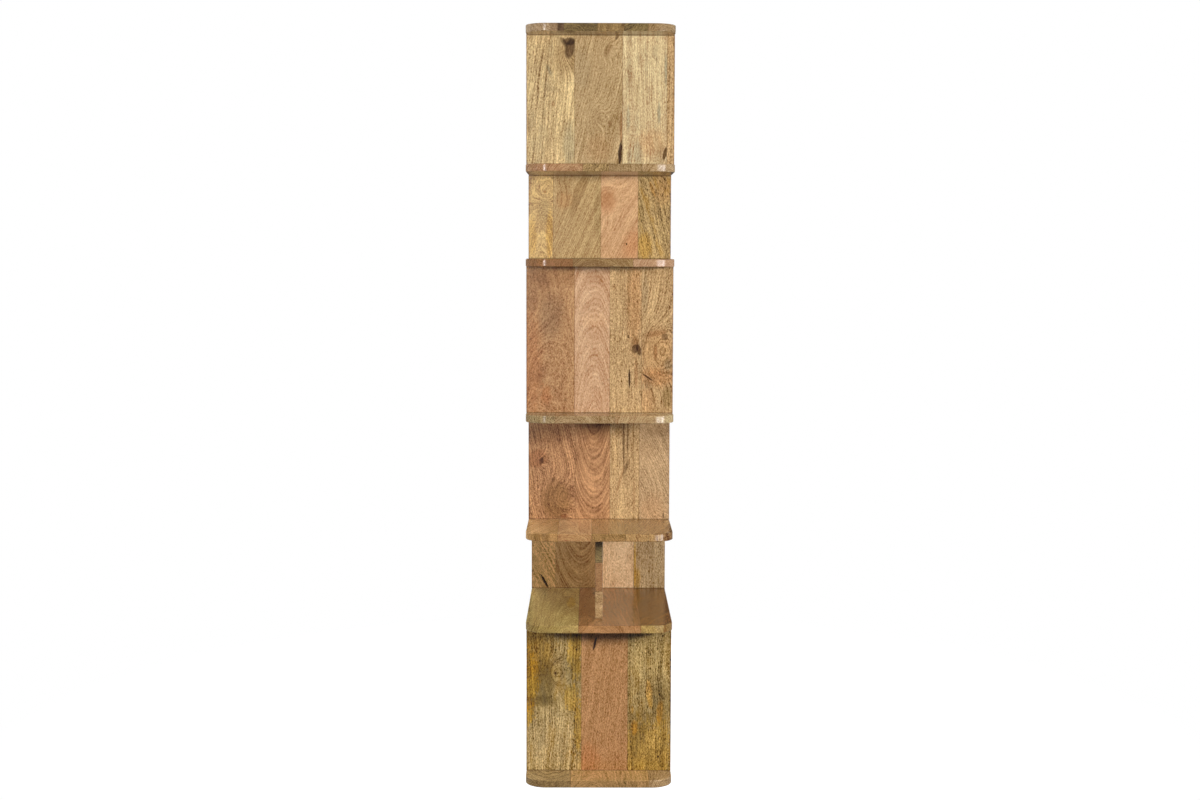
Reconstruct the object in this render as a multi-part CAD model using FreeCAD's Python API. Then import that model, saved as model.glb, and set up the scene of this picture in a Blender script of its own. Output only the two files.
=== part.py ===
import FreeCAD, Part
import os

# Open bookcase of solid boards: round-cornered shelves on uprights that stand near the shelf ends
# in one bay and well in from them in the next. X runs across the shelves, Y along them and Z up.
# The origin is the middle of the base board's underside, and the front end is the one at -Y.

# Shelf boards
shelf_depth = 350.0
shelf_length = 1000.0
shelf_thickness = 18.0
shelf_corner_radius = 50.0

# Upright boards, which are as wide as the shelves
panel_thickness = 18.0
divider_thickness = 18.0

# Chamfer that eases the edges a hand can touch
edge_chamfer = 1.5

# Clear heights of the bays, from the floor up
bay_1_height = 355.0
bay_2_height = 201.0
bay_3_height = 262.0
bay_4_height = 349.0
bay_5_height = 203.0
bay_6_height = 304.0

# How far the outer faces of the uprights stand in from the shelf ends
wide_bay_setback = 85.0
narrow_bay_setback = 245.0
divider_setback = 85.0

# Loose tongues, glued into stopped grooves in both boards of a joint
tongue_thickness = 6.0
tongue_depth_in_face = 7.0
tongue_depth_in_end = 12.0
tongue_stop = 30.0
groove_clearance = 0.1

shelf_names = ["base_board", "shelf_1", "shelf_2", "shelf_3", "shelf_4", "shelf_5", "top_board"]
bay_heights = [bay_1_height, bay_2_height, bay_3_height, bay_4_height, bay_5_height, bay_6_height]

# Bays with a pair of panels, and where the pair stands
panel_setbacks = {
    1: wide_bay_setback,
    3: narrow_bay_setback,
    4: wide_bay_setback,
    5: narrow_bay_setback,
    6: wide_bay_setback,
}
cross_bay = 2
ends = {"front": -1, "rear": 1}

boards = {}
tongues = {}


def box_between(low, high):
    size = high - low
    return Part.makeBox(size.x, size.y, size.z, low)


def is_upright(edge):
    run = edge.tangentAt(edge.FirstParameter)
    return abs(run.z) > max(abs(run.x), abs(run.y))


def upright_edges(solid):
    return [edge for edge in solid.Edges if is_upright(edge)]


def level_edges(solid):
    return [edge for edge in solid.Edges if not is_upright(edge)]


def bay_floor(bay):
    return sum(bay_heights[: bay - 1]) + bay * shelf_thickness


def bay_ceiling(bay):
    return bay_floor(bay) + bay_heights[bay - 1]


def shelf_board(level):
    # A flat board with four round corners, and eased edges along both outlines
    bottom = bay_floor(level + 1) - shelf_thickness
    low = FreeCAD.Vector(-shelf_depth / 2, -shelf_length / 2, bottom)
    high = FreeCAD.Vector(shelf_depth / 2, shelf_length / 2, bottom + shelf_thickness)
    board = box_between(low, high)
    board = board.makeFillet(shelf_corner_radius, upright_edges(board))
    return board.makeChamfer(edge_chamfer, level_edges(board))


def panel(bay, middle_y):
    # A board across the shelves, with its four upright edges eased and its ends left square
    low = FreeCAD.Vector(-shelf_depth / 2, middle_y - panel_thickness / 2, bay_floor(bay))
    high = FreeCAD.Vector(shelf_depth / 2, middle_y + panel_thickness / 2, bay_ceiling(bay))
    board = box_between(low, high)
    return board.makeChamfer(edge_chamfer, upright_edges(board))


def divider(end):
    # A board along the centre line, from the cross panel out to an eased outer edge
    inner = end * panel_thickness / 2
    outer = end * (shelf_length / 2 - divider_setback)
    low = FreeCAD.Vector(-divider_thickness / 2, min(inner, outer), bay_floor(cross_bay))
    high = FreeCAD.Vector(divider_thickness / 2, max(inner, outer), bay_ceiling(cross_bay))
    board = box_between(low, high)
    middle_y = board.BoundBox.Center.y
    outer_edges = [edge for edge in upright_edges(board) if abs(edge.CenterOfMass.y) > abs(middle_y)]
    return board.makeChamfer(edge_chamfer, outer_edges)


def join(tongue, board_names, node):
    # Cuts the tongue's groove, a clearance wider all round, into both boards that it joins
    box = tongue.BoundBox
    room = FreeCAD.Vector(groove_clearance, groove_clearance, groove_clearance)
    low = FreeCAD.Vector(box.XMin, box.YMin, box.ZMin) - room
    high = FreeCAD.Vector(box.XMax, box.YMax, box.ZMax) + room
    groove = box_between(low, high)
    for name in board_names:
        boards[name] = boards[name].cut(groove)
    tongues.setdefault(node, []).append(tongue)


def join_foot_and_head(upright, bay, node):
    # One tongue under the upright and one over it, along its width and stopped short of its edges
    box = boards[upright].BoundBox
    along_x = box.XLength > box.YLength
    half_x = box.XLength / 2 - tongue_stop if along_x else tongue_thickness / 2
    half_y = tongue_thickness / 2 if along_x else box.YLength / 2 - tongue_stop
    half = FreeCAD.Vector(half_x, half_y, 0)
    into_face = FreeCAD.Vector(0, 0, tongue_depth_in_face)
    into_end = FreeCAD.Vector(0, 0, tongue_depth_in_end)
    foot = FreeCAD.Vector(box.Center.x, box.Center.y, bay_floor(bay))
    head = FreeCAD.Vector(box.Center.x, box.Center.y, bay_ceiling(bay))
    foot_tongue = box_between(foot - half - into_face, foot + half + into_end)
    head_tongue = box_between(head - half - into_end, head + half + into_face)
    join(foot_tongue, [shelf_names[bay - 1], upright], node)
    join(head_tongue, [shelf_names[bay], upright], node)


def join_divider_end(upright, end):
    # One upright tongue between the divider's inner end and the cross panel's face
    meeting_y = end * panel_thickness / 2
    inside_panel = meeting_y - end * tongue_depth_in_face
    inside_divider = meeting_y + end * tongue_depth_in_end
    bottom = bay_floor(cross_bay) + tongue_stop
    top = bay_ceiling(cross_bay) - tongue_stop
    low = FreeCAD.Vector(-tongue_thickness / 2, min(inside_panel, inside_divider), bottom)
    high = FreeCAD.Vector(tongue_thickness / 2, max(inside_panel, inside_divider), top)
    join(box_between(low, high), ["bay_2_cross_panel", upright], "divider_end_tongues")


for level, name in enumerate(shelf_names):
    boards[name] = shelf_board(level)

for bay, setback in panel_setbacks.items():
    for end_name, end in ends.items():
        name = f"bay_{bay}_{end_name}_panel"
        boards[name] = panel(bay, end * (shelf_length / 2 - setback - panel_thickness / 2))
        join_foot_and_head(name, bay, f"bay_{bay}_tongues")

boards["bay_2_cross_panel"] = panel(cross_bay, 0)
join_foot_and_head("bay_2_cross_panel", cross_bay, "cross_panel_tongues")

for end_name, end in ends.items():
    name = f"bay_2_{end_name}_divider"
    boards[name] = divider(end)
    join_foot_and_head(name, cross_bay, "divider_tongues")
    join_divider_end(name, end)

os.makedirs("parts", exist_ok=True)
for name, board in boards.items():
    board.exportStep(f"parts/{name}.step")
for name, bars in tongues.items():
    Part.makeCompound(bars).exportStep(f"parts/{name}.step")

print("boards", len(boards), "tongue nodes", len(tongues))
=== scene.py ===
import bpy
import numpy as np
from functools import partial
from math import radians
from mathutils import Matrix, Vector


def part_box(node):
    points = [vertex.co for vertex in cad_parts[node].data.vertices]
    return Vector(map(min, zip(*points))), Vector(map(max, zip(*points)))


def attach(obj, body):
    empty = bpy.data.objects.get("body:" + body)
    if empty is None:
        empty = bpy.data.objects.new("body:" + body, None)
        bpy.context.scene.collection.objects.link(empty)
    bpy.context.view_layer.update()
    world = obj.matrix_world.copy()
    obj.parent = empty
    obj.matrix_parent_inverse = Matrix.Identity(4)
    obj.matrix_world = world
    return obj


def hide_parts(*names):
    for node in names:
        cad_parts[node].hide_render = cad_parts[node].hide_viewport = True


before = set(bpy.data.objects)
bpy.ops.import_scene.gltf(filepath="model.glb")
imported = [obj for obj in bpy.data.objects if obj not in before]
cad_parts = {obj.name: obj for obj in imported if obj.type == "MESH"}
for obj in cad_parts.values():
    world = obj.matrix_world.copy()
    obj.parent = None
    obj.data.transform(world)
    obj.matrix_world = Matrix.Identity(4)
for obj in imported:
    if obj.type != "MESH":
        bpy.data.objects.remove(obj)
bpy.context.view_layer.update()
mm = 0.001
print("frame loaded:", len(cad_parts), "nodes")


# sRGB hex to linear red, green, blue and alpha
def linear(hexColour):
    srgb = np.array([int(hexColour[i:i + 2], 16) for i in (1, 3, 5)]) / 255
    rgb = np.where(srgb <= 0.04045, srgb / 12.92, ((srgb + 0.055) / 1.055) ** 2.4)
    return (*rgb.tolist(), 1.0)


# Adds a node with its settings and links. Inputs come in order, and sockets by name or number: each
# is a value, or an output to link. Other settings are the node's properties. Gives back one output of
# the node, or the node itself where output is None.
def addNode(tree, kind, *inputs, output=0, sockets=None, **properties):
    node = tree.nodes.new("ShaderNode" + kind)
    for name, value in properties.items():
        setattr(node, name, value)
    for key, value in (*enumerate(inputs), *(sockets or {}).items()):
        if isinstance(value, bpy.types.NodeSocket):
            tree.links.new(value, node.inputs[key])
        else:
            node.inputs[key].default_value = value
    return node if output is None else node.outputs[output]


# Settings of nodes that come up often
times = {"operation": "MULTIPLY"}
timesPlus = {"operation": "MULTIPLY_ADD"}
minus = {"operation": "SUBTRACT"}
smallest = {"operation": "MINIMUM"}
largest = {"operation": "MAXIMUM"}
vectorLength = {"operation": "LENGTH", "output": "Value"}
eased = {"interpolation_type": "SMOOTHSTEP"}
mixed = {"data_type": "RGBA", "clamp_factor": False, "output": 2}
stained = {**mixed, "blend_type": "MULTIPLY"}


def newMaterial(name):
    material = bpy.data.materials.new(name)
    material.use_nodes = True
    material.node_tree.nodes.clear()
    return material, partial(addNode, material.node_tree)


# Tones of mango wood, each as its pale and its dark grain
woodTones = {
    "honey": ("#dec28c", "#9f8257"),
    "straw": ("#d9c495", "#b0926a"),
    "corn": ("#cead71", "#9f7d51"),
    "fawn": ("#ccb28f", "#a48865"),
    "oat": ("#b99c6b", "#96754b"),
    "biscuit": ("#bea276", "#977a51"),
    "drift": ("#ccaf83", "#9e7f55"),
    "ash": ("#9a8557", "#69583a"),
    "lichen": ("#e6cd7e", "#af9255"),
    "olive": ("#bc9e69", "#896e46"),
    "moss": ("#bca069", "#775d2e"),
    "sand": ("#c8a676", "#98774f"),
    "wheat": ("#dfb277", "#a8854e"),
    "caramel": ("#c8a26b", "#936c40"),
    "tan": ("#c7a57b", "#a2835e"),
    "cream": ("#f3d2a5", "#d2ac81"),
    "blush": ("#caa47f", "#af8561"),
    "peach": ("#fccc8b", "#c2975b"),
    "apricot": ("#fdd297", "#d39f6d"),
    "salmon": ("#cfa77b", "#aa7f57"),
    "terracotta": ("#bb8a5b", "#95693e"),
    "cinnamon": ("#b68b5f", "#926742"),
    "rust": ("#be8e62", "#82593a"),
    "umber": ("#956631", "#744b20"),
}

# Stains in the wood, and a painted highlight, as parts of the red, green and blue of clean wood, and
# how soft their edge is. A minus sign there breaks the stain up into flecks.
stains = {
    "brown": (0.62, 0.54, 0.46, 0.5),
    "russet": (0.6, 0.42, 0.33, 0.3),
    "dark": (0.26, 0.2, 0.16, 0.25),
    "red": (0.97, 0.8, 0.7, 0.6),
    "yellow": (1.02, 0.83, 0.28, 0.35),
    "orange": (1.4, 1.08, 0.58, 0.25),
    "amber": (1.02, 0.84, 0.28, -0.2),
    "grey": (0.62, 0.66, 0.72, 0.45),
    "olive": (0.55, 0.52, 0.4, 0.35),
    "pale": (1.25, 1.25, 1.2, 0.45),
    "cream": (1.3, 1.32, 1.48, 0.45),
    "bleach": (1.6, 1.7, 1.65, 0.3),
    # Painted highlight: a bluish-white lift where the lacquer glints
    "paintedHighlight": (1.45, 2.0, 2.6, 0.3),
}

woodLook = {
    # Noise in the trunk: mm across and along the grain, detail, and roughness where it isn't a half
    "bend": (120, 360, 1.5),  # long waves of the growth rings
    "ripple": (22, 88, 3),  # short waves of the growth rings
    "mottle": (20, 60, 2),
    "fibre": (2.4, 72, 3, 0.6),
    "speck": (1.8, 4.32, 1.5),  # drawn coarse so that it shows from across a room
    "ragged": (6, 9.6, 2),
    "pore": (2.0, 8, 1),
    "spalt": (26, 104, 5, 0.66),
    # Noise that follows the rings: mm across them, aside and along the grain, and detail
    "streak": (2.6, 45, 120, 2.5),
    "fleck": (2.2, 6, 6, 2),
    # Growth rings and knots
    "ringBend": 45,  # mm, how far the long waves move them
    "ringRipple": 12,  # mm, how far the short waves move them
    "ringRise": (0.2, 0.8),  # part of a ring where it darkens
    "ringFall": (1.0, 0.85),  # part of a ring where it turns pale again
    "bandPace": 0.43,  # change of the broad bands in one ring
    "bandRise": (0.3, 0.7),
    "lineShare": 0.45,  # of the dark in a ring, what its own line gives
    "bandShare": 0.55,  # and what the bands give
    "meanRing": 0.45,
    "knotRipple": 0.9,
    "coreRagged": 0.8,
    "coreEdge": (0.7, 0.3),
    # What each noise adds to the dark of the grain, and to the raggedness of a stain's edge
    "grainShade": {"streak": 1.9, "fibre": 0.7, "mottle": 0.8, "bend": 0.8},
    "dashShade": {"fleck": 2.1, "speck": 3.7},
    "shadeLimits": (-0.8, 2.0),
    "stainRagged": {"streak": 0.5, "ragged": 0.8, "mottle": 0.5, "speck": 0.6, "fibre": 0.8},
    "stainGrowth": -0.1,
    "stainReach": 2.2,  # times a stain's softness
    "fleckReach": -12.0,  # times the softness of a stain in flecks, which is written with a minus sign
    # Colours, and the noise over which they come in
    "grey": ("#655a42", -0.03, -0.13),
    "yellow": ("#b98722", 0.03, 0.14),
    "knot": "#3d2413",
    "crack": "#280b05",
    "crackRagged": 1.2,
    "crackEdge": (0.1, -0.3),
    "pores": "#553a20",
    "poreEdge": (0.1, 0.22, 0.0, 0.5),
    "joint": 0.8,  # mm, half of a glue joint's dark line
    "jointDark": 0.8,
    "shelfJointAndShade": 3.5,  # times that where a panel meets a shelf: a dark joint at its foot, painted shade under the shelf at its head
    "edge": (4.0, 1.0),  # mm from a panel's edge, over which painted shade darkens it
    "under": 1.9,  # mm, as near to an edge as the underside of a shelf gets painted shade
    # Tint of the painted shade along panel edges and on shelf undersides
    "paintedShadeTint": (0.68, 0.58, 0.45, 1),
    "endTint": (0.7, 0.66, 0.62, 1),
    # Surface
    "bump": 0.3,
    "bumpDepth": 0.3,  # mm
    "fibreHeight": 0.5,
    "poreHeight": -1.0,
    "crackHeight": -2.0,
    "roughness": 0.42,
    "speckRoughness": 0.2,
    "poreRoughness": 0.3,
    "lacquerRoughness": 0.2,
}
knotLetters = "AB"
patchLetters = "ABCDEFGHIJKL"


# Mango wood, planed and sanded under satin clear lacquer: the eye sees growth rings as lines and
# arches, short dark pores along the grain, warm pale and dark streaks, and a soft sheen.
# Each corner of a board carries where it lies in its stave's trunk, so the grain runs through.
def mangoWood():
    material, add = newMaterial("mangoWoodSatinLacquer")
    look = woodLook
    trunk = add("Attribute", attribute_name="trunk", output="Vector")
    trunkAcross, trunkThrough, trunkAlong = add("SeparateXYZ", trunk, output=None).outputs
    trunkAside = add("Math", trunkAcross, trunkThrough)

    # Three values that a board's corners carry under one name
    def carried(name):
        values = add("Attribute", attribute_name=name, output="Vector")
        return add("SeparateXYZ", values, output=None).outputs

    # Distance from the middle of a spot, in the spot's own half sizes, and the spot's amount
    def fromSpot(name):
        spot = add("Attribute", attribute_name=name, output="Vector")
        away = add("VectorMath", add("VectorMath", spot, (1, 1, 0), **times), **vectorLength)
        return away, add("SeparateXYZ", spot, output="Z")

    # Noise about zero in the trunk, of a size across and a length along the grain
    def grainNoise(size, length, detail, roughness=0.5):
        scale = (1 / (size * mm), 1 / (size * mm), 1 / (length * mm))
        place = add("VectorMath", trunk, scale, **times)
        noise = add("TexNoise", place, sockets={"Scale": 1.0, "Detail": detail, "Roughness": roughness})
        return add("Math", noise, 0.5, **minus)

    # Noise about zero that follows the rings over the face: on the ring's radius and, drawn out, on
    # the place
    def ringNoise(size, aside, ahead, detail):
        place = add(
            "CombineXYZ",
            add("Math", radius, 1 / (size * mm), **times),
            add("Math", trunkAside, 1 / (aside * mm), **times),
            add("Math", trunkAlong, 1 / (ahead * mm), **times))
        noise = add("TexNoise", place, sockets={"Scale": 1.0, "Detail": detail})
        return add("Math", noise, 0.5, **minus)

    # A value and some of each noise
    def withNoises(value, amounts):
        for name, amount in amounts.items():
            value = add("Math", noises[name], amount, value, **timesPlus)
        return value

    ringsPerMetre, ringContrast, warp = carried("figure")
    coreA, coreB, endGrain = carried("core")
    yellowAmount, greyAmount, speckAmount = carried("wear")
    crackAlong, crackAcross, crackAmount = carried("crack")
    leftGap, rightGap, footGap = carried("gap")
    leftEdge, rightEdge, headGap = carried("edge")
    grainNames = ("bend", "ripple", "mottle", "fibre", "speck", "ragged")
    noises = {name: grainNoise(*look[name]) for name in grainNames}

    # Growth rings: distance from the pith, bent by noise and lifted by exp(-away^2 / 2) round a knot
    radius = add("VectorMath", add("VectorMath", trunk, (1, 1, 0), **times), **vectorLength)
    waves = withNoises(0.0, {"ripple": look["ringRipple"] * mm, "bend": look["ringBend"] * mm})
    radius = add("Math", waves, warp, radius, **timesPlus)
    coreShade = 0.0
    for letter, coreAmount in zip(knotLetters, (coreA, coreB)):
        away, rise = fromSpot("knot" + letter)
        away = withNoises(away, {"ripple": look["knotRipple"]})
        lift = add("Math", add("Math", away, away, **times), -0.5, **times)
        lift = add("Math", lift, operation="EXPONENT")
        radius = add("Math", lift, rise, radius, **timesPlus)
        core = withNoises(away, {"ragged": look["coreRagged"]})
        core = add("MapRange", core, *look["coreEdge"], **eased)
        coreShade = add("Math", add("Math", core, coreAmount, **times), coreShade, **largest)
    ringCount = add("Math", radius, ringsPerMetre, **times)
    ringPart = add("Math", ringCount, operation="FRACT")
    line = add(
        "Math", add("MapRange", ringPart, *look["ringRise"], **eased),
        add("MapRange", ringPart, *look["ringFall"], **eased), **times)
    bandPlace = add("Math", ringCount, look["bandPace"], **times)
    band = add("TexNoise", noise_dimensions="1D", sockets={"W": bandPlace, "Scale": 1.0, "Detail": 2.0})
    band = add("MapRange", band, *look["bandRise"], **eased)
    rings = add("Math", line, look["lineShare"], add("Math", band, look["bandShare"], **times), **timesPlus)
    noises["streak"] = ringNoise(*look["streak"])
    noises["fleck"] = ringNoise(*look["fleck"])

    # Pale to dark along rings, streaks, fibres, mottle, dashes and specks
    shade = add("Math", rings, look["meanRing"], **minus)
    shade = add("Math", shade, ringContrast, 0.5, **timesPlus)
    shade = withNoises(shade, look["grainShade"])
    shade = add("Math", withNoises(0.0, look["dashShade"]), speckAmount, shade, **timesPlus)
    shade = add("Clamp", shade, *look["shadeLimits"])
    paleTone = add("Attribute", attribute_name="paleTone")
    darkTone = add("Attribute", attribute_name="darkTone")
    colour = add("Mix", sockets={0: shade, 6: paleTone, 7: darkTone}, **mixed)

    # Stained patches with ragged edges, among them painted highlights, painted light and painted shade
    ragged = withNoises(look["stainGrowth"], look["stainRagged"])
    for letter in patchLetters:
        away, amount = fromSpot("patch" + letter)
        tint = add("Attribute", attribute_name="tint" + letter, output=None).outputs
        softness = tint["Alpha"]
        reach = add(
            "Math", add("Math", softness, look["stainReach"], **times),
            add("Math", softness, look["fleckReach"], **times), **largest)
        away = add("Math", ragged, reach, away, **timesPlus)
        soft = add("Math", softness, operation="ABSOLUTE")
        outside = add("Math", 1.0, soft)
        inside = add("Math", 1.0, soft, **minus)
        cover = add("Math", add("MapRange", away, outside, inside, **eased), amount, **times)
        colour = add("Mix", sockets={0: cover, 6: colour, 7: tint["Color"]}, **stained)

    # Grey and yellow spalting drawn out along the grain
    spalt = grainNoise(*look["spalt"])
    for amount, (spaltColour, *spaltEdge) in ((greyAmount, look["grey"]), (yellowAmount, look["yellow"])):
        cover = add("Math", add("MapRange", spalt, *spaltEdge, **eased), amount, **times)
        colour = add("Mix", sockets={0: cover, 6: colour, 7: linear(spaltColour)}, **mixed)

    # Knots, pores and crack
    colour = add("Mix", sockets={0: coreShade, 6: colour, 7: linear(look["knot"])}, **mixed)
    pores = add("MapRange", grainNoise(*look["pore"]), *look["poreEdge"], **eased)
    pores = add("Math", pores, speckAmount, **times)
    colour = add("Mix", sockets={0: pores, 6: colour, 7: linear(look["pores"])}, **mixed)
    crackWidth = add("Math", 1.0, add("Math", crackAlong, crackAlong, **times), **minus)
    crackAway = withNoises(crackAcross, {"ragged": look["crackRagged"]})
    crackAway = add("Math", add("Math", crackAway, operation="ABSOLUTE"), crackWidth, **minus)
    crack = add("MapRange", crackAway, *look["crackEdge"], **eased)
    crack = add("Math", crack, crackAmount, **times)
    colour = add("Mix", sockets={0: crack, 6: colour, 7: linear(look["crack"])}, **mixed)

    # Glue joints, painted shade at the heads of panels, along their side edges and under shelves, and end
    # grain
    gap = add("Math", leftGap, rightGap, **smallest)
    # A dark joint at a panel's foot, and painted shade under the shelf above at its head
    for endGap in (footGap, headGap):
        gap = add("Math", gap, add("Math", endGap, 1 / look["shelfJointAndShade"], **times), **smallest)
    joint = add("MapRange", gap, look["joint"] * mm, 0.0, 0.0, look["jointDark"], **eased)
    colour = add("Mix", sockets={0: joint, 6: colour, 7: linear(look["pores"])}, **mixed)
    # Painted shade along a panel's side edges and over a shelf's underside
    edge = add("Math", leftEdge, rightEdge, **smallest)
    paintedEdgeShade = add("MapRange", edge, *(distance * mm for distance in look["edge"]), **eased)
    colour = add("Mix", sockets={0: paintedEdgeShade, 6: colour, 7: look["paintedShadeTint"]}, **stained)
    colour = add("Mix", sockets={0: endGrain, 6: colour, 7: look["endTint"]}, **stained)

    height = add("Math", pores, look["poreHeight"], **times)
    height = add("Math", crack, look["crackHeight"], height, **timesPlus)
    height = withNoises(height, {"fibre": look["fibreHeight"]})
    bump = add("Bump", output="Normal", sockets={
        "Strength": look["bump"], "Distance": look["bumpDepth"] * mm, "Height": height})
    roughness = withNoises(look["roughness"], {"speck": look["speckRoughness"]})
    roughness = add("Math", pores, look["poreRoughness"], roughness, **timesPlus)
    # The lacquer alone gives the sheen
    shader = add("BsdfPrincipled", sockets={
        "Base Color": colour, "Roughness": roughness, "Specular IOR Level": 0.0, "Normal": bump,
        "Coat Weight": 1.0, "Coat Roughness": look["lacquerRoughness"]})
    add("OutputMaterial", shader, output=None)
    return material


mangoWoodMaterial = mangoWood()

# One stave of a board, in millimetres. Places on a board are across from its left edge and along
# from its foot or front end. The pith lies aside from the stave's middle and behind its face, and
# leans aside and back by these parts of the way along. End is how far the end grain darkens, and
# where a stave's tone is made paler for its top, also painted shade that keeps its front edge darker.
plainStave = {
    "width": 80, "tone": "tan", "pith": (10, 60), "lean": (0.0, 0.05), "ring": 5.0, "contrast": 0.7,
    "warp": 1.0, "yellow": 0.0, "grey": 0.0, "speck": 1.0, "end": 1.0,
    "knots": [],  # up to two: across, along, radius, rise of the rings, darkness of the core
    "patches": [],  # up to twelve: across, along, half width, half length, degrees, stain, amount
    "crack": (-900, -900, 1, 1, 0, 0),  # across, along, length, width, degrees, darkness
}
# Far off every board, and of no amount
noKnot = (-900, -900, 1, 0, 0)
noPatch = (-900, -900, 1, 1, 0, "pale", 0)

boardLook = {
    "arris": 2.0,  # mm, radius
    "arrisSteps": 4,
    "cornerRadius": 50,  # mm
    "cornerSteps": 16,
    "knotLength": 1.35,  # times a knot's width
    "boardShift": 0.37,  # metres along the trunk from one board to the next
    "staveShift": 0.61,  # metres along the trunk from one stave to the next
}


# Outline of a rounded rectangle, left to right along its front and back again along its back: quarter
# arcs, corner middle + radius * (-cos t, -sin t) and + radius * (sin t, -cos t) with t from 0 to 90
# degrees, and a point on the straight front at each cut.
def roundedOutline(halfAcross, halfOther, radius, cuts, steps):
    turn = np.linspace(0, np.pi / 2, steps + 1)
    straight = np.zeros(len(cuts))
    normalAcross = np.concatenate([-np.cos(turn), straight, np.sin(turn)])
    normalOther = np.concatenate([-np.sin(turn), straight - 1, -np.cos(turn)])
    across = np.concatenate([0 * turn - halfAcross + radius, cuts, 0 * turn + halfAcross - radius])
    across += radius * normalAcross
    other = radius - halfOther + radius * normalOther
    front = np.stack([across, other, normalAcross, normalOther], 1)
    back = (front * (1, -1, 1, -1))[::-1]
    return np.concatenate([front, back])


# A board as its outline carried up through rows: where an end has an arris, a quarter round, drawn in by
# arris * (1 - sin t) at the level arris * (1 - cos t), and straight between. Gives back points, faces,
# normals at the faces' corners, and where across the board each face's outline segment lies.
def boardSurface(halfAcross, halfOther, radius, height, arrises, cuts, steps):
    turn = np.linspace(0, np.pi / 2, boardLook["arrisSteps"] + 1)
    lowRound, highRound = arrises
    lowTurn = turn if lowRound else turn[-1:]
    highTurn = (turn if highRound else turn[-1:])[::-1]
    insets = np.concatenate([lowRound * (1 - np.sin(lowTurn)), highRound * (1 - np.sin(highTurn))])
    levels = np.concatenate([
        lowRound * (1 - np.cos(lowTurn)), height - highRound * (1 - np.cos(highTurn))])
    rise = np.concatenate([-np.cos(lowTurn), np.cos(highTurn)])
    rings = np.stack([
        roundedOutline(halfAcross - inset, halfOther - inset, radius - inset, cuts, steps)
        for inset in insets])
    rows, count = rings.shape[:2]
    points = np.concatenate([rings[:, :, :2], np.repeat(levels[:, None, None], count, 1)], 2)
    side = np.sqrt(1 - rise ** 2)[:, None, None]
    normals = np.concatenate([rings[:, :, 2:] * side, np.repeat(rise[:, None, None], count, 1)], 2)

    index = np.arange(rows * count).reshape(rows, count)
    nextIndex = np.roll(index, -1, 1)
    walls = np.stack([index[:-1], nextIndex[:-1], nextIndex[1:], index[1:]], 2).reshape(-1, 4)
    wallSegment = np.tile(np.arange(count), rows - 1)
    half = count // 2
    frontLow, backLow = index[0, :half], index[0, half:][::-1]
    frontHigh, backHigh = index[-1, :half], index[-1, half:][::-1]
    low = np.stack([frontLow[:-1], backLow[:-1], backLow[1:], frontLow[1:]], 1)
    high = np.stack([frontHigh[:-1], frontHigh[1:], backHigh[1:], backHigh[:-1]], 1)
    faces = np.concatenate([walls, low, high])
    segments = np.concatenate([wallSegment, np.arange(half - 1), np.arange(half - 1)])
    cornerNormals = normals.reshape(-1, 3)[faces]
    cornerNormals[len(walls):len(walls) + half - 1] = (0, 0, -1)
    cornerNormals[len(walls) + half - 1:] = (0, 0, 1)
    middles = (rings[0, :, 0] + np.roll(rings[0, :, 0], -1)) / 2
    return points.reshape(-1, 3), faces, cornerNormals, middles[segments]


# How each kind of board lies: the part's axes for across, the outline's other way and the height,
# which of the last two is the grain's, and the rounds in the outline and at its ends.
boardKinds = {
    "shelf": {"axes": (0, 1, 2), "grain": 1, "radius": "cornerRadius", "arrises": (1, 1)},
    "panel": {"axes": (0, 1, 2), "grain": 2, "radius": "arris", "arrises": (0, 0)},
    "frontDivider": {"axes": (2, 0, 1), "grain": 2, "radius": "arris", "arrises": (1, 0)},
    "rearDivider": {"axes": (2, 0, 1), "grain": 2, "radius": "arris", "arrises": (0, 1)},
}


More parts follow.
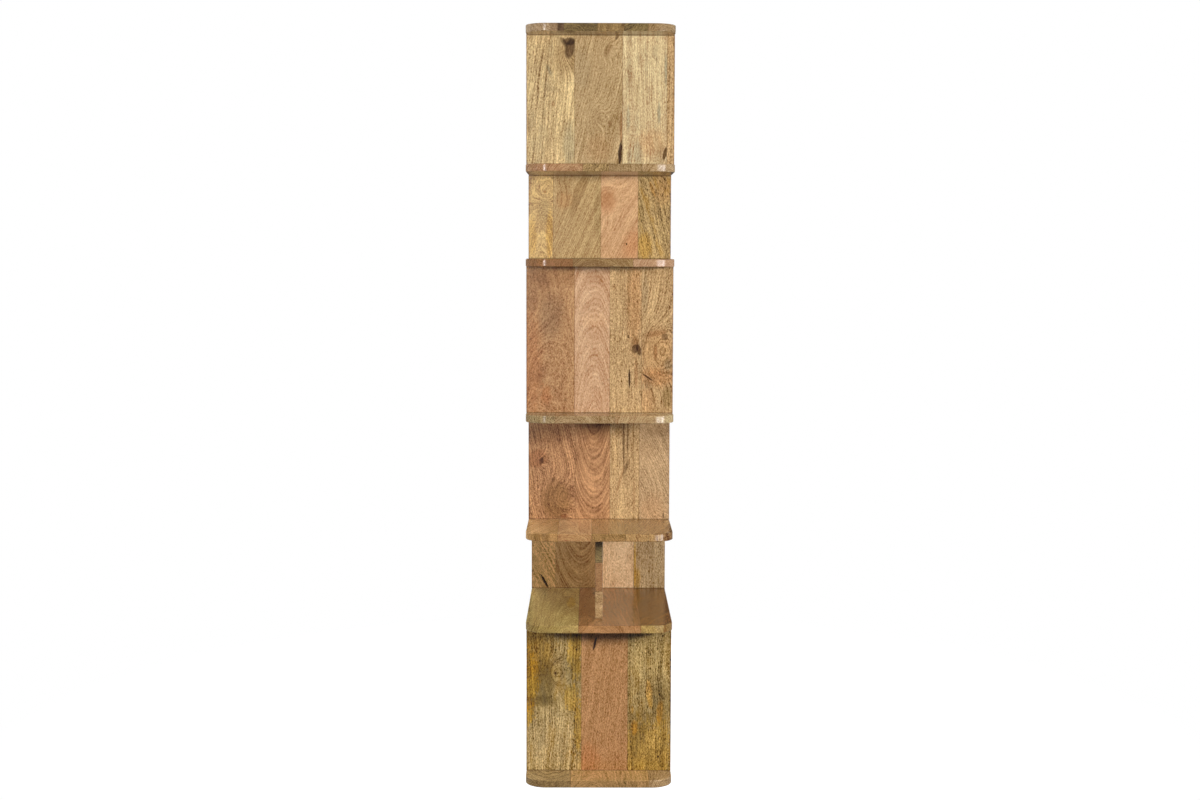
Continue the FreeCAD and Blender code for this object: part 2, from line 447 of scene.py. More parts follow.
# Builds a board in its node's box. Each corner of a face carries what the wood reads there: its place in
# its stave's trunk, the stave's figure and tones, and where knots, stains, cracks and edges are from it.
def buildBoard(board):
    kind = boardKinds[board["kind"]]
    axes = list(kind["axes"])
    low, high = (np.array(corner)[axes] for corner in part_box(board["node"]))
    size = high - low
    staves = [{**plainStave, **stave} for stave in board["staves"]]
    widths = np.array([stave["width"] for stave in staves], float)
    edges = np.concatenate([[0], np.cumsum(widths)]) / widths.sum() * size[0]
    radius = boardLook[kind["radius"]] * mm
    arrises = [boardLook["arris"] * mm * end for end in kind["arrises"]]
    steps = boardLook["cornerSteps" if board["kind"] == "shelf" else "arrisSteps"]
    cuts = edges[1:-1] - size[0] / 2
    points, faces, normals, middles = boardSurface(
        size[0] / 2, size[1] / 2, radius, size[2], arrises, cuts, steps)

    # Each corner's place in its board: across from the left, through from the face, along the grain
    corners = points[faces].reshape(-1, 3)
    grain = kind["grain"]
    isPanel = board["kind"] == "panel"
    across = corners[:, 0] + size[0] / 2
    along = corners[:, 1] + size[1] / 2 if grain == 1 else corners[:, 2]
    through = size[2] - corners[:, 2] if grain == 1 else corners[:, 1] + size[1] / 2
    staveOf = np.repeat(np.searchsorted(cuts, middles), 4)

    def each(values):  # one value of each stave, for each corner
        return np.array(values, float)[staveOf]

    # Place within an ellipse, from its middle and turned to its length, in its half sizes
    def inEllipse(spots):
        x, y, halfWidth, halfLength, degrees = each(spots).T
        x, y = across - x * mm, along - y * mm
        lean = np.radians(degrees)
        aside = x * np.cos(lean) - y * np.sin(lean)
        ahead = x * np.sin(lean) + y * np.cos(lean)
        return aside / (halfWidth * mm), ahead / (halfLength * mm)

    middle = (edges[:-1] + edges[1:]) / 2
    pith = each([stave["pith"] for stave in staves]) * mm
    lean = each([stave["lean"] for stave in staves])
    fromMiddle = along - (size[1] if grain == 1 else size[2]) / 2
    seed = board["seed"] * boardLook["boardShift"] + staveOf * boardLook["staveShift"]
    cornerNormals = normals.reshape(-1, 3)
    never = np.ones_like(along)  # a metre away, where nothing darkens
    # Painted shade on a shelf's underside, given as a nearness to an edge
    facesDown = (cornerNormals[:, 2] < -0.99) & (board["kind"] == "shelf")
    under = np.where(facesDown, woodLook["under"] * mm, never)
    first, last = staveOf == 0, staveOf == len(staves) - 1
    knots = [(stave["knots"] + [noKnot] * 2)[:2] for stave in staves]
    patchCount = max(len(stave["patches"]) for stave in staves)
    patches = [stave["patches"] + [noPatch] * (patchCount - len(stave["patches"])) for stave in staves]
    cracks = [stave["crack"] for stave in staves]
    crackAside, crackAhead = inEllipse([(c[0], c[1], c[3] / 2, c[2] / 2, c[4]) for c in cracks])
    vectors = {
        "trunk": [
            across - middle[staveOf] - pith[:, 0] - lean[:, 0] * fromMiddle,
            through - pith[:, 1] - lean[:, 1] * fromMiddle, along + seed],
        "figure": each([
            (1 / (stave["ring"] * mm), stave["contrast"], stave["warp"]) for stave in staves]).T,
        "wear": each([(stave["yellow"], stave["grey"], stave["speck"]) for stave in staves]).T,
        "core": [each([pair[0][4] for pair in knots]), each([pair[1][4] for pair in knots]),
                 np.abs(cornerNormals[:, grain]) * each([stave["end"] for stave in staves])],
        "gap": [across - edges[staveOf] + first, edges[staveOf + 1] - across + last,
                along if isPanel else never],
        "edge": [across, size[0] - across, size[2] - along] if isPanel else [under, never, never],
        "crack": [crackAhead, crackAside, each([c[5] for c in cracks])],
    }
    tones = {
        "paleTone": [linear(woodTones[stave["tone"]][0]) for stave in staves],
        "darkTone": [linear(woodTones[stave["tone"]][1]) for stave in staves],
    }
    for order, letter in enumerate(knotLetters):
        spots = [pair[order] for pair in knots]
        aside, ahead = inEllipse([(k[0], k[1], k[2], boardLook["knotLength"] * k[2], 0) for k in spots])
        vectors["knot" + letter] = [aside, ahead, each([k[3] * mm for k in spots])]
    for order, letter in enumerate(patchLetters[:patchCount]):
        spots = [group[order] for group in patches]
        vectors["patch" + letter] = [*inEllipse([p[:5] for p in spots]), each([p[6] for p in spots])]
        tones["tint" + letter] = [stains[p[5]] for p in spots]

    # The outline's own axes back to the part's
    place = np.empty_like(points)
    place[:, axes] = points + low + np.array([size[0] / 2, size[1] / 2, 0])
    turned = np.empty_like(cornerNormals)
    turned[:, axes] = cornerNormals
    mesh = bpy.data.meshes.new(board["name"])
    mesh.from_pydata(place.tolist(), [], faces.tolist())
    mesh.update()
    mesh.polygons.foreach_set("use_smooth", np.ones(len(faces), bool))
    for name, values in vectors.items():
        flat = np.stack(list(values), 1).astype(np.float32).ravel()
        mesh.attributes.new(name, "FLOAT_VECTOR", "CORNER").data.foreach_set("vector", flat)
    for name, values in tones.items():
        colours = np.array(values)[staveOf]
        mesh.attributes.new(name, "FLOAT_COLOR", "CORNER").data.foreach_set("color", colours.ravel())
    mesh.normals_split_custom_set(turned.tolist())
    mesh.materials.append(mangoWoodMaterial)
    piece = bpy.data.objects.new(board["name"], mesh)
    bpy.context.scene.collection.objects.link(piece)
    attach(piece, "root")
    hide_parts(board["node"])
    return piece


topBoard = {
    "name": "topBoard", "node": "top_board", "kind": "shelf", "seed": 1,
    "staves": [
        {"width": 90, "tone": "fawn", "pith": (60, -20), "lean": (0.05, 0), "ring": 6, "end": 0.85,
         "patches": [(70, 0, 10, 60, 0, "brown", 0.9), (84, 0, 8, 60, 0, "dark", 0.9)]},
        {"width": 77, "tone": "ash", "pith": (-20, 70), "ring": 5,
         "patches": [(128, 0, 40, 60, 0, "brown", 0.35)]},
        {"width": 62, "tone": "olive", "pith": (40, 30), "ring": 4},
        {"width": 55, "tone": "ash", "pith": (-60, -10), "ring": 4},
        {"width": 66, "tone": "biscuit", "pith": (10, 50), "ring": 5},
    ],
}
shelf5 = {
    "name": "shelf5", "node": "shelf_5", "kind": "shelf", "seed": 2,
    "staves": [
        {"width": 134, "tone": "salmon", "pith": (40, 60), "ring": 6,
         "patches": [(50, 0, 30, 200, 0, "red", 0.3)]},
        {"width": 61, "tone": "olive", "pith": (-50, 20), "ring": 5, "end": 0.8,
         "knots": [(162, 4, 5, 8, 0.8)]},
        {"width": 77, "tone": "biscuit", "pith": (-60, 40), "ring": 6},
        {"width": 78, "tone": "drift", "pith": (20, 60), "ring": 5, "end": 0.9},
    ],
}
shelf4 = {
    "name": "shelf4", "node": "shelf_4", "kind": "shelf", "seed": 3,
    "staves": [
        {"width": 112, "tone": "terracotta", "pith": (50, 40), "ring": 5,
         "patches": [(60, 0, 70, 30, 0, "brown", 0.4)]},
        {"width": 140, "tone": "oat", "pith": (-20, 80), "ring": 5, "end": 0.9,
         "patches": [(180, 0, 70, 30, 0, "brown", 0.25)]},
        {"width": 98, "tone": "blush", "pith": (30, 60), "ring": 6, "end": 0.7},
    ],
}
shelf3 = {
    "name": "shelf3", "node": "shelf_3", "kind": "shelf", "seed": 4,
    "staves": [
        {"width": 70, "tone": "honey", "pith": (30, 30), "ring": 5,
         "patches": [(40, 0, 40, 60, 0, "grey", 0.5)]},
        {"width": 140, "tone": "drift", "pith": (-40, 70), "ring": 5},
        {"width": 140, "tone": "straw", "pith": (20, 60), "ring": 6,
         "patches": [(250, 0, 60, 30, 0, "red", 0.5)]},
    ],
}
shelf2 = {
    "name": "shelf2", "node": "shelf_2", "kind": "shelf", "seed": 5,
    # Its pale tones are painted light that brightens the top; its high ends are partly end grain and partly
    # painted shade that darkens the front edge back
    "staves": [
        {"width": 77, "tone": "peach", "pith": (30, 50), "lean": (0.4, 0), "ring": 6, "end": 1.5,
         "patches": [(30, 0, 26, 12, 0, "olive", 0.6)]},
        {"width": 80, "tone": "apricot", "pith": (-20, 70), "ring": 6, "end": 1.7},
        {"width": 80, "tone": "wheat", "pith": (40, 20), "ring": 5, "end": 1.2,
         "patches": [(195, 0, 44, 12, 0, "olive", 0.3), (228, 150, 8, 110, 0, "brown", 0.5)]},
        {"width": 113, "tone": "caramel", "pith": (-60, 60), "lean": (0.2, 0), "ring": 6, "end": 0.25,
         "knots": [(290, 3, 5, 6, 0.9)], "patches": [(335, 80, 26, 90, 0, "brown", 0.6)]},
    ],
}
shelf1 = {
    "name": "shelf1", "node": "shelf_1", "kind": "shelf", "seed": 6,
    "staves": [
        # On the top, the olive and broad brown patches are painted shade over the front, and the pale patch
        # beside the divider is painted light over the divider's shadow
        {"width": 126, "tone": "lichen", "pith": (40, 60), "ring": 6, "end": 1.3,
         "patches": [(106, 293, 10, 60, 0, "yellow", 0.6), (60, 110, 90, 170, 0, "olive", 0.42),
                     (112, 0, 26, 8, 0, "cream", 1.0)]},
        {"width": 148, "tone": "terracotta", "pith": (-30, 70), "ring": 6, "end": -0.5,
         "patches": [(152, 215, 28, 220, 0, "pale", 0.6), (235, 260, 44, 250, 0, "brown", 0.25),
                     (205, 110, 100, 150, 0, "brown", 0.42)]},
        {"width": 76, "tone": "umber", "pith": (-10, 50), "lean": (0.5, 0), "ring": 6, "end": 0.0,
         # Painted highlight along the front edge and round the right-hand corner
         "patches": [(318, 0, 52, 9, 0, "paintedHighlight", 1.5), (343, 26, 6, 15, 31, "paintedHighlight", 0.9)]},
    ],
}
baseBoard = {
    "name": "baseBoard", "node": "base_board", "kind": "shelf", "seed": 7,
    "staves": [
        {"width": 108, "tone": "olive", "pith": (10, 50), "lean": (0, 0.3), "ring": 5, "end": 1.2},
        {"width": 187, "tone": "wheat", "pith": (-40, 80), "ring": 6, "end": 1.2,
         "knots": [(116, 40, 5, 8, 0.8)]},
        {"width": 55, "tone": "sand", "pith": (20, 50), "ring": 5, "end": 0.2},
    ],
}
bay6Front = {
    "name": "bay6FrontPanel", "node": "bay_6_front_panel", "kind": "panel", "seed": 8,
    "staves": [
        {"width": 114, "tone": "honey", "pith": (-110, 40), "lean": (0.12, 0.02), "ring": 6,
         "contrast": 0.65, "grey": 0.2, "speck": 0.65, "knots": [(103, 276, 22, 30, 0.0)],
         "patches": [(94, 252, 27, 38, 12, "brown", 0.65), (103, 273, 11, 22, 14, "dark", 0.95),
                     (101, 289, 14, 8, 0, "dark", 0.95), (88, 288, 5, 12, -35, "dark", 0.75),
                     (110, 238, 5, 22, 0, "brown", 0.6), (54, 222, 4, 12, -25, "grey", 0.9),
                     (64, 143, 4, 6, 0, "russet", 0.6), (101, 48, 13, 45, 0, "grey", 0.8),
                     (5, 92, 5, 22, 0, "brown", 0.7), (50, 36, 5, 34, 6, "brown", 0.45),
                     (36, 262, 14, 34, 14, "brown", 0.3)]},
        {"width": 113, "tone": "biscuit", "pith": (-160, 40), "lean": (0.25, 0), "ring": 7, "contrast": 0.6,
         "warp": 0.6, "speck": 0.8, "knots": [(167, 114, 16, 36, 0.0), (192, 272, 14, 24, 0.0)],
         "patches": [(192, 270, 6, 13, 25, "brown", 0.9), (213, 299, 3, 6, 20, "dark", 0.7),
                     (198, 98, 4, 6, 0, "russet", 0.6), (225, 90, 4, 34, 0, "russet", 0.8),
                     (172, 42, 24, 26, 0, "red", 0.4), (168, 112, 7, 18, 8, "brown", 0.5),
                     (130, 225, 18, 44, 0, "grey", 0.25), (160, 205, 20, 40, 15, "brown", 0.25)],
         "crack": (222, 27, 72, 9, 4, 0.9)},
        {"width": 105, "tone": "straw", "pith": (150, 30), "ring": 6, "contrast": 0.6, "grey": 0.2,
         "speck": 0.75, "knots": [(324, 30, 18, 22, 0.0)],
         "patches": [(300, 52, 30, 26, 0, "red", 0.7), (329, 222, 3, 34, 0, "grey", 1.0),
                     (313, 122, 3, 20, 0, "grey", 1.0), (240, 108, 4, 26, 0, "grey", 0.8),
                     (263, 30, 9, 24, 0, "grey", 0.7), (245, 20, 5, 18, 0, "grey", 0.6),
                     (320, 28, 9, 20, 0, "brown", 0.5), (328, 28, 4, 15, 12, "dark", 1.0),
                     (262, 165, 3, 30, 4, "brown", 0.5)]},
        {"width": 18, "tone": "sand", "pith": (100, 30), "ring": 6},
    ],
}
bay5Front = {
    "name": "bay5FrontPanel", "node": "bay_5_front_panel", "kind": "panel", "seed": 9,
    "staves": [
        {"width": 61, "tone": "corn", "pith": (4, 40), "lean": (0, 0.2), "ring": 3.8, "contrast": 0.8,
         "warp": 0.4, "speck": 0.8, "knots": [(39, 163, 20, 32, 0.0)],
         "patches": [(52, 60, 8, 50, 0, "yellow", 0.5), (9, 50, 10, 40, 0, "yellow", 0.35),
                     (37, 118, 13, 28, 0, "grey", 0.4), (40, 163, 3, 3, 0, "russet", 0.8)]},
        {"width": 117, "tone": "oat", "pith": (-120, 40), "lean": (0.45, 0), "ring": 5, "contrast": 0.9,
         "warp": 0.6, "speck": 0.8, "knots": [(84, 206, 24, 30, 0.0)],
         "patches": [(123, 160, 9, 48, 22, "brown", 0.75), (88, 142, 16, 18, 20, "red", 0.7),
                     (92, 180, 10, 12, 0, "brown", 0.3), (170, 110, 8, 60, 0, "olive", 0.35)]},
        {"width": 91, "tone": "salmon", "pith": (-60, 60), "lean": (0.5, 0), "ring": 8, "contrast": 0.35,
         "speck": 0.6, "knots": [(241, 36, 3, 4, 1.0), (196, 150, 24, 24, 0.0)],
         "patches": [(190, 142, 18, 24, 0, "red", 0.7), (194, 147, 17, 21, 0, "brown", 0.55),
                     (256, 36, 18, 30, 20, "red", 0.8), (185, 205, 16, 8, 0, "russet", 0.4)]},
        {"width": 81, "tone": "olive", "pith": (110, 30), "lean": (-0.3, 0), "ring": 4, "yellow": 0.3,
         "knots": [(342, 196, 20, 24, 0.0)],
         "patches": [(286, 30, 16, 30, 0, "yellow", 0.6), (330, 172, 20, 36, 0, "red", 0.6),
                     (304, 170, 4, 20, -20, "orange", 0.5), (278, 120, 6, 60, 0, "olive", 0.4)]},
    ],
}
bay4Front = {
    "name": "bay4FrontPanel", "node": "bay_4_front_panel", "kind": "panel", "seed": 10,
    "staves": [
        {"width": 115, "tone": "cinnamon", "pith": (0, 60), "lean": (0.1, 0.12), "ring": 3.6,
         "contrast": 0.8, "knots": [(48, 40, 24, 20, 0.0), (54, 240, 44, 18, 0.0)],
         "patches": [(58, 335, 62, 26, 0, "brown", 0.65), (60, 228, 24, 46, 8, "grey", 0.5),
                     (12, 115, 20, 105, 0, "red", 0.9), (47, 40, 10, 20, 0, "red", 1.0),
                     (30, 76, 12, 14, 0, "brown", 0.5), (24, 290, 30, 40, 0, "brown", 0.4)]},
        {"width": 84, "tone": "blush", "pith": (6, 50), "lean": (0, 0.2), "ring": 2.5, "contrast": 1.05,
         "warp": 0.25, "speck": 0.8,
         "patches": [(164, 222, 24, 16, 0, "pale", 0.4), (164, 340, 40, 26, 0, "brown", 0.3)]},
        {"width": 76, "tone": "sand", "pith": (-150, 20), "ring": 5, "contrast": 0.25,
         "knots": [(266, 152, 18, 20, 0.0)],
         "patches": [(258, 260, 14, 90, 0, "red", 0.7), (268, 151, 5, 13, -10, "dark", 1.0),
                     (260, 170, 8, 9, 0, "brown", 1.0), (259, 153, 7, 10, 0, "dark", 0.9),
                     (243, 183, 2.5, 4, 0, "dark", 0.9), (243, 285, 2, 60, 0, "brown", 0.7),
                     (262, 95, 4, 32, 0, "russet", 0.6), (209, 300, 5, 7, 0, "russet", 0.4),
                     (225, 320, 8, 40, 0, "brown", 0.4)],
         "crack": (246, 82, 54, 5, 0, 0.95)},
        {"width": 75, "tone": "sand", "pith": (-110, 30), "lean": (0.1, 0), "ring": 8, "contrast": 0.9,
         "warp": 0.5, "speck": 0.9, "knots": [(312, 148, 33, 92, 0.0)],
         "patches": [(312, 146, 37, 52, 0, "russet", 0.5), (313, 146, 30, 44, 0, "bleach", 0.42),
                     (308, 145, 4, 18, 0, "russet", 0.7), (330, 182, 7, 7, 30, "dark", 0.7),
                     (338, 117, 9, 11, 0, "grey", 0.8), (311, 84, 38, 18, 0, "red", 1.0),
                     (290, 72, 16, 12, -30, "grey", 0.6), (337, 36, 11, 24, 0, "olive", 0.8),
                     (282, 290, 7, 45, 0, "grey", 0.5), (306, 190, 26, 6, -10, "russet", 0.5),
                     (288, 30, 16, 30, 0, "red", 0.5)],
         "crack": (289, 86, 34, 5, -56, 0.85)},
    ],
}
bay3Front = {
    "name": "bay3FrontPanel", "node": "bay_3_front_panel", "kind": "panel", "seed": 11,
    "staves": [
        {"width": 116, "tone": "rust", "pith": (-110, 50), "lean": (-0.25, 0), "ring": 5, "contrast": 0.65,
         "warp": 0.6, "speck": 0.8, "knots": [(70, 48, 28, 58, 0.0), (32, 146, 12, 22, 0.0)],
         "patches": [(45, 212, 45, 24, 0, "brown", 0.6), (32, 146, 5, 8, 0, "dark", 0.9),
                     (22, 152, 22, 20, -40, "russet", 0.6), (70, 46, 34, 44, 0, "olive", 0.85),
                     (62, 100, 4, 6, 20, "dark", 0.6), (10, 50, 16, 50, 0, "pale", 0.5),
                     (88, 8, 9, 5, 0, "russet", 0.8)]},
        {"width": 86, "tone": "rust", "pith": (4, 54), "lean": (0, -0.22), "ring": 3.0, "contrast": 0.85,
         "warp": 0.25, "speck": 0.5,
         "patches": [(165, 226, 26, 26, 0, "brown", 0.7), (166, 186, 28, 8, 0, "pale", 0.4)]},
        {"width": 73, "tone": "sand", "pith": (-90, 20), "ring": 6, "contrast": 0.25,
         "patches": [(236, 190, 2.5, 56, 0, "dark", 0.8), (246, 205, 2, 42, 0, "dark", 0.8),
                     (260, 205, 2, 32, 0, "brown", 0.8), (222, 222, 7, 14, 0, "brown", 0.8),
                     (228, 100, 3, 40, 16, "russet", 0.5), (214, 180, 7, 70, 0, "pale", 0.4),
                     (241, 128, 4, 20, 20, "dark", 0.5), (262, 60, 3, 40, 0, "russet", 0.4)]},
        {"width": 75, "tone": "tan", "pith": (-120, 50), "lean": (-0.5, 0), "ring": 6,
         "knots": [(318, 30, 18, 24, 0.0)],
         "patches": [(320, 222, 32, 14, 0, "brown", 0.5), (296, 178, 20, 20, -30, "brown", 0.3),
                     (310, 30, 26, 30, 0, "red", 0.4)],
         "crack": (335, 11, 18, 4, 0, 0.7)},
    ],
}
crossPanel = {
    "name": "bay2CrossPanel", "node": "bay_2_cross_panel", "kind": "panel", "seed": 12,
    # Its tones are its wood's colours made paler, as painted light that brightens this recessed panel
    "staves": [
        {"width": 63, "tone": "wheat", "pith": (40, 40), "lean": (-0.6, 0), "ring": 6,
         "crack": (33, 20, 46, 7, -30, 1.0)},
        {"width": 117, "tone": "caramel", "pith": (8, 60), "lean": (0, -0.25), "ring": 2.6, "contrast": 0.8,
         "warp": 0.3, "speck": 0.6},
        {"width": 88, "tone": "cream", "pith": (20, 90), "ring": 9, "contrast": 0.25, "speck": 0.9,
         "patches": [(222, 170, 44, 16, 0, "red", 0.3)]},
        {"width": 82, "tone": "drift", "pith": (150, 20), "ring": 4,
         "patches": [(271, 60, 3, 60, 0, "yellow", 0.8), (278, 26, 7, 26, 0, "yellow", 0.6),
                     (300, 120, 20, 60, 0, "brown", 0.3)]},
    ],
}
frontDivider = {
    "name": "bay2FrontDivider", "node": "bay_2_front_divider", "kind": "frontDivider", "seed": 13,
    "staves": [
        {"width": 67, "tone": "sand", "pith": (60, 20), "end": 0.6},
        {"width": 70, "tone": "cinnamon", "pith": (-50, 30), "end": 0.7},
        {"width": 64, "tone": "ash", "pith": (40, 40), "end": 0.7},
    ],
}
bay1Front = {
    "name": "bay1FrontPanel", "node": "bay_1_front_panel", "kind": "panel", "seed": 14,
    "staves": [
        {"width": 133, "tone": "moss", "pith": (-160, 40), "ring": 6, "contrast": 0.65, "yellow": 0.22,
         "grey": 0.25, "speck": 0.8, "knots": [(71, 241, 17, 46, 0.0), (70, 240, 6, 6, 0.9)],
         "patches": [(66, 66, 64, 76, 0, "cream", 0.85), (26, 296, 34, 62, 0, "yellow", 0.7),
                     (44, 222, 21, 52, 0, "olive", 1.0), (38, 172, 34, 12, 0, "olive", 0.85),
                     (12, 226, 13, 56, 0, "amber", 1.0), (9, 146, 9, 26, 0, "amber", 0.9),
                     (118, 290, 14, 50, 0, "amber", 0.8), (110, 235, 22, 42, 0, "grey", 0.55),
                     (71, 242, 19, 29, 0, "brown", 0.7), (71, 240, 12, 21, 6, "bleach", 0.8),
                     (108, 176, 13, 26, 0, "amber", 0.7), (126, 108, 8, 46, 0, "amber", 0.8)]},
        {"width": 112, "tone": "terracotta", "pith": (140, 40), "lean": (0.12, 0), "ring": 6,
         "contrast": 0.5, "speck": 1.1,
         "patches": [(150, 28, 20, 34, 0, "red", 0.8), (168, 322, 10, 8, 0, "brown", 0.6)],
         "crack": (165.5, 313, 40, 7, 15, 0.98)},
        {"width": 105, "tone": "moss", "pith": (-120, 40), "ring": 5, "contrast": 0.6, "yellow": 0.15,
         "grey": 0.25, "speck": 0.9,
         "patches": [(300, 286, 46, 52, 0, "pale", 0.55), (326, 168, 22, 46, 0, "olive", 0.7),
                     (275, 116, 24, 34, 0, "olive", 0.55), (298, 40, 58, 64, 0, "amber", 0.7),
                     (262, 60, 9, 30, 0, "olive", 0.5), (304, 84, 13, 26, 0, "cream", 0.9),
                     (298, 188, 7, 32, -6, "orange", 0.8), (300, 176, 5, 20, -12, "bleach", 0.7),
                     (323, 145, 7, 26, 4, "orange", 0.9), (261, 107, 7, 18, 0, "orange", 0.9),
                     (257, 150, 3, 9, 0, "orange", 0.7)]},
    ],
}

# Boards that the front hides, glued up from staves drawn by lot: node, kind and number of staves
rearBoards = {
    "bay6RearPanel": ("bay_6_rear_panel", "panel", 4),
    "bay5RearPanel": ("bay_5_rear_panel", "panel", 4),
    "bay4RearPanel": ("bay_4_rear_panel", "panel", 4),
    "bay3RearPanel": ("bay_3_rear_panel", "panel", 4),
    "bay1RearPanel": ("bay_1_rear_panel", "panel", 4),
    "bay2RearDivider": ("bay_2_rear_divider", "rearDivider", 3),
}
rearTones = [
    "straw", "honey", "biscuit", "corn", "salmon", "olive", "cinnamon", "blush", "sand", "rust", "tan",
    "oat", "drift", "terracotta"]
rearStave = {
    "width": (60, 120), "pithAside": (-120, 120), "pithBehind": (30, 90), "leanAside": (-0.2, 0.2),
    "leanBehind": (-0.3, 0.3), "ring": (4, 7), "contrast": (0.5, 1.1), "grey": (0, 0.3)}
rearSeed = 21
firstRearBoard = 20  # its own seed, and one more for each after it


# Staves with each value drawn between its limits
def stavesByLot(draw, count):
    limits = rearStave
    return [{
        "width": draw.uniform(*limits["width"]),
        "tone": str(draw.choice(rearTones)),
        "pith": (draw.uniform(*limits["pithAside"]), draw.uniform(*limits["pithBehind"])),
        "lean": (draw.uniform(*limits["leanAside"]), draw.uniform(*limits["leanBehind"])),
        "ring": draw.uniform(*limits["ring"]),
        "contrast": draw.uniform(*limits["contrast"]),
        "grey": draw.uniform(*limits["grey"]),
    } for _ in range(count)]


shownBoards = [
    topBoard, shelf5, shelf4, shelf3, shelf2, shelf1, baseBoard, bay6Front, bay5Front, bay4Front, bay3Front,
    crossPanel, frontDivider, bay1Front]
for board in shownBoards:
    buildBoard(board)
draw = np.random.default_rng(rearSeed)
for seed, (name, (node, kind, count)) in enumerate(rearBoards.items(), firstRearBoard):
    staves = stavesByLot(draw, count)
    buildBoard({"name": name, "node": node, "kind": kind, "seed": seed, "staves": staves})
print("boards built:", len(shownBoards) + len(rearBoards))

tonguePlywood = {
    "veneer": 1.2,  # mm thick
    "glueLine": 0.1,  # of a veneer's thickness
    "crossGrain": 0.5,  # how much darker every other veneer is
    "fibre": 0.8,  # mm
    "bump": 0.4,
    "bumpDepth": 0.2,  # mm
    "roughness": 0.7,
    "ior": 1.5,
    "pale": "#e2c9a0",
    "dark": "#c29d6c",
    "glue": "#6b4a2a",
}


# Birch plywood, sawn to narrow strips: pale veneers seen as stripes through the strip's thickness,
# with thin brown glue lines, and no finish
def birchPlywood(name, thickness):
    material, add = newMaterial(name)
    look = tonguePlywood
    place = add("TexCoord", output="Object")
    through = add("SeparateXYZ", place, output=thickness)
    veneers = add("Math", through, 1 / (look["veneer"] * mm), **times)
    withinVeneer = add("Math", veneers, operation="FRACT")
    glue = add("Math", withinVeneer, 1 - look["glueLine"], operation="GREATER_THAN")
    withinPair = add("Math", add("Math", veneers, 0.5, **times), operation="FRACT")
    crossGrain = add("Math", withinPair, 0.5, operation="GREATER_THAN")
    fibre = add("TexNoise", place, sockets={"Scale": 1 / (look["fibre"] * mm), "Detail": 3.0})
    shade = add("Clamp", add("Math", crossGrain, look["crossGrain"], fibre, **timesPlus))
    colour = add("Mix", sockets={0: shade, 6: linear(look["pale"]), 7: linear(look["dark"])}, **mixed)
    colour = add("Mix", sockets={0: glue, 6: colour, 7: linear(look["glue"])}, **mixed)
    bump = add("Bump", output="Normal", sockets={
        "Strength": look["bump"], "Distance": look["bumpDepth"] * mm, "Height": fibre})
    shader = add("BsdfPrincipled", sockets={
        "Base Color": colour, "Roughness": look["roughness"], "IOR": look["ior"], "Normal": bump})
    add("OutputMaterial", shader, output=None)
    return material


panelTongues = birchPlywood("birchPlywoodAcrossLength", "Y")
dividerTongues = birchPlywood("birchPlywoodAcrossWidth", "X")
for name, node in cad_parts.items():
    if name.endswith("tongues"):
        node.material_slots[0].material = dividerTongues if name.startswith("divider") else panelTongues
print("tongues finished")

# Places and sizes in metres, power in watts. Lamps with gloss off light the wood and don't show in the
# lacquer, and those with diffuse off only show in the lacquer.
lamps = {
    "keySoftbox": {
        "place": (2.52, -3.0, 1.5), "target": (0, -0.4, 1.1), "size": (2.3, 0.5), "power": 140,
        "gloss": False},
    "frontGlint": {
        "place": (1.88, -3.36, 0.9), "target": (0.13, -0.45, 0.9), "size": (1.32, 1.76), "power": 58,
        "diffuse": False},
    "sideGlint": {
        "place": (2.92, -2.4, 0.9), "target": (0.13, -0.45, 0.9), "size": (0.84, 1.76), "power": 64,
        "diffuse": False},
    "leftStrip": {
        "place": (-0.9, -3.9, 1.4), "target": (0, -0.4, 1.0), "size": (0.16, 1.7), "power": 42,
        "diffuse": False},
    "leftSoftbox": {
        "place": (-3.0, -2.4, 1.5), "target": (0, -0.3, 1.0), "size": (2.2, 0.5), "power": 100,
        "gloss": False},
    "overheadSoftbox": {
        "place": (0.3, -1.9, 3.6), "target": (0, -0.4, 0.8), "size": (2.0, 1.2), "power": 2,
        "gloss": False},
    "rearRightSoftbox": {
        "place": (1.6, 3.6, 1.7), "target": (0, 0.3, 1.0), "size": (1.6, 1.4), "power": 120,
        "gloss": False},
    "rearLeftSoftbox": {
        "place": (-1.6, 3.6, 1.7), "target": (0, 0.3, 1.0), "size": (1.6, 1.4), "power": 120,
        "gloss": False},
    "topSoftbox": {
        "place": (0.0, 0.9, 3.9), "target": (0, 0.1, 1.8), "size": (1.6, 1.6), "power": 70,
        "gloss": False},
}


# A rectangular lamp that faces its target, with its height upright
def areaLight(name, light):
    lamp = bpy.data.lights.new(name, "AREA")
    lamp.shape = "RECTANGLE"
    lamp.size, lamp.size_y = light["size"]
    lamp.energy = light["power"]
    lampObject = bpy.data.objects.new(name, lamp)
    away = np.array(light["place"]) - np.array(light["target"])
    back = away / np.linalg.norm(away)
    right = np.cross((0, 0, 1), back)
    right /= np.linalg.norm(right)
    up = np.cross(back, right)
    turned = np.eye(4)
    turned[:3] = np.stack([right, up, back, light["place"]], 1)
    lampObject.matrix_world = Matrix(turned.tolist())
    lampObject.visible_glossy = light.get("gloss", True)
    lampObject.visible_diffuse = light.get("diffuse", True)
    bpy.context.scene.collection.objects.link(lampObject)


for name, light in lamps.items():
    areaLight(name, light)
print("lamps set:", len(lamps))

paper = {
    "half": 12.0,  # metres from the middle of the floor to its sides
    "bounced": "#4c4434",  # what the floor gives back to the object
    "shaded": "#a0a0a0",  # its shaded part in the picture, to which the glow adds
    "glow": 0.88,
    "fade": (0.7, 1.6),  # metres from the middle, where it turns white
    "inGloss": 0.25,  # how much of that white the lacquer mirrors: more would veil the low panels
}


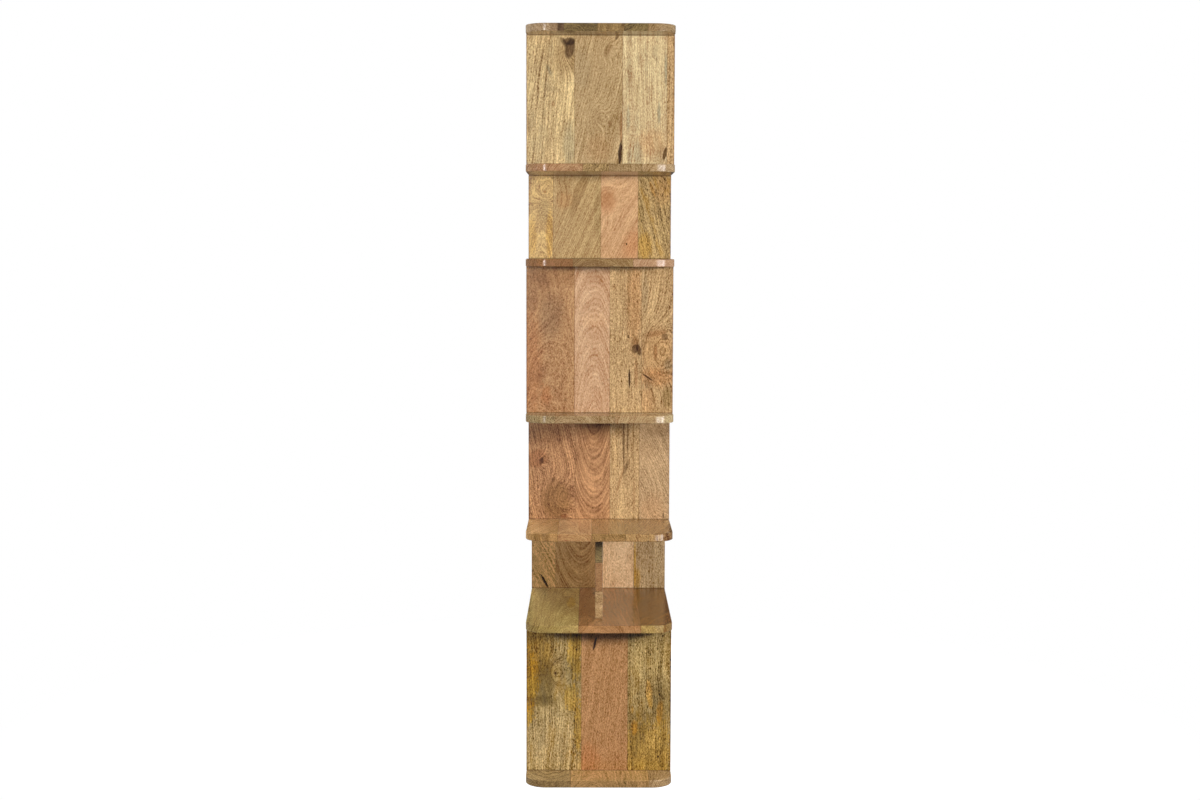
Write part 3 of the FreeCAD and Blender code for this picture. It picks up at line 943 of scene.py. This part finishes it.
# White paper floor: white to the camera away from the object, shaded near it
def paperFloor():
    material, add = newMaterial("whitePaperFloor")
    shaded = add("BsdfDiffuse", linear(paper["shaded"]))
    glow = add("Emission", (1, 1, 1, 1), paper["glow"])
    white = add("Emission", (1, 1, 1, 1), 1.0)
    away = add("VectorMath", add("TexCoord", output="Object"), **vectorLength)
    far = add("MapRange", away, *paper["fade"], **eased)
    seen = add("MixShader", far, add("AddShader", shaded, glow), white)
    bounced = add("BsdfDiffuse", linear(paper["bounced"]))
    rays = add("LightPath", output=None).outputs
    mirrored = add("Math", rays["Is Glossy Ray"], paper["inGloss"], **times)
    straight = add("Math", rays["Is Camera Ray"], rays["Is Transmission Ray"], **largest)
    share = add("Math", straight, mirrored, **largest)
    add("OutputMaterial", add("MixShader", share, bounced, seen), output=None)
    return material


floorMesh = bpy.data.meshes.new("floor")
half = paper["half"]
floorCorners = [(-half, -half, 0), (half, -half, 0), (half, half, 0), (-half, half, 0)]
floorMesh.from_pydata(floorCorners, [], [(0, 1, 2, 3)])
floorMesh.materials.append(paperFloor())
floor = bpy.data.objects.new("floor", floorMesh)
bpy.context.scene.collection.objects.link(floor)

room = {
    "strength": (0.05, 0.12),  # from the front and from behind
    "behind": (-0.1, 0.6),  # over which part of the way back it changes
    "sheen": (0.05, 0.5),  # what the lacquer mirrors of the room ahead and to the sides
    "sides": (0.3, 0.8),  # over which part of the way aside it changes
}

# White to the camera, and a dim room to the object
world = bpy.data.worlds.new("studioWorld")
world.use_nodes = True
world.node_tree.nodes.clear()
add = partial(addNode, world.node_tree)
toward = add("TexCoord", output="Generated")
strength = add("MapRange", add("SeparateXYZ", toward, output="Y"), *room["behind"], *room["strength"])
aside = add("Math", add("SeparateXYZ", toward, output="X"), operation="ABSOLUTE")
sheen = add("MapRange", aside, *room["sides"], *room["sheen"])
rays = add("LightPath", output=None).outputs
strength = add("Mix", sockets={0: rays["Is Glossy Ray"], 2: strength, 3: sheen})
strength = add("Math", strength, rays["Is Transmission Ray"], **largest)
strength = add("Math", strength, rays["Is Camera Ray"], **largest)
add("OutputWorld", add("Background", (1, 1, 1, 1), strength), output=None)
bpy.context.scene.world = world
print("floor and room set")

photoCamera = {
    "place": (-0.02245, -4.8012, 1.2773),  # metres
    "lens": 55.25,  # mm
    "sensor": 36,  # mm
    "pitch": 4.646,  # degrees down
    "turn": -0.307,  # degrees
    "roll": 0.172,  # degrees
}
cameraData = bpy.data.cameras.new("photoCamera")
cameraData.lens = photoCamera["lens"]
cameraData.sensor_width = photoCamera["sensor"]
camera = bpy.data.objects.new("photoCamera", cameraData)
camera.matrix_world = (
    Matrix.Translation(photoCamera["place"])
    @ Matrix.Rotation(radians(photoCamera["turn"]), 4, "Z")
    @ Matrix.Rotation(radians(90 - photoCamera["pitch"]), 4, "X")
    @ Matrix.Rotation(radians(photoCamera["roll"]), 4, "Z"))
bpy.context.scene.collection.objects.link(camera)
bpy.context.scene.camera = camera
bpy.context.scene.view_settings.view_transform = "Standard"
print("camera set")
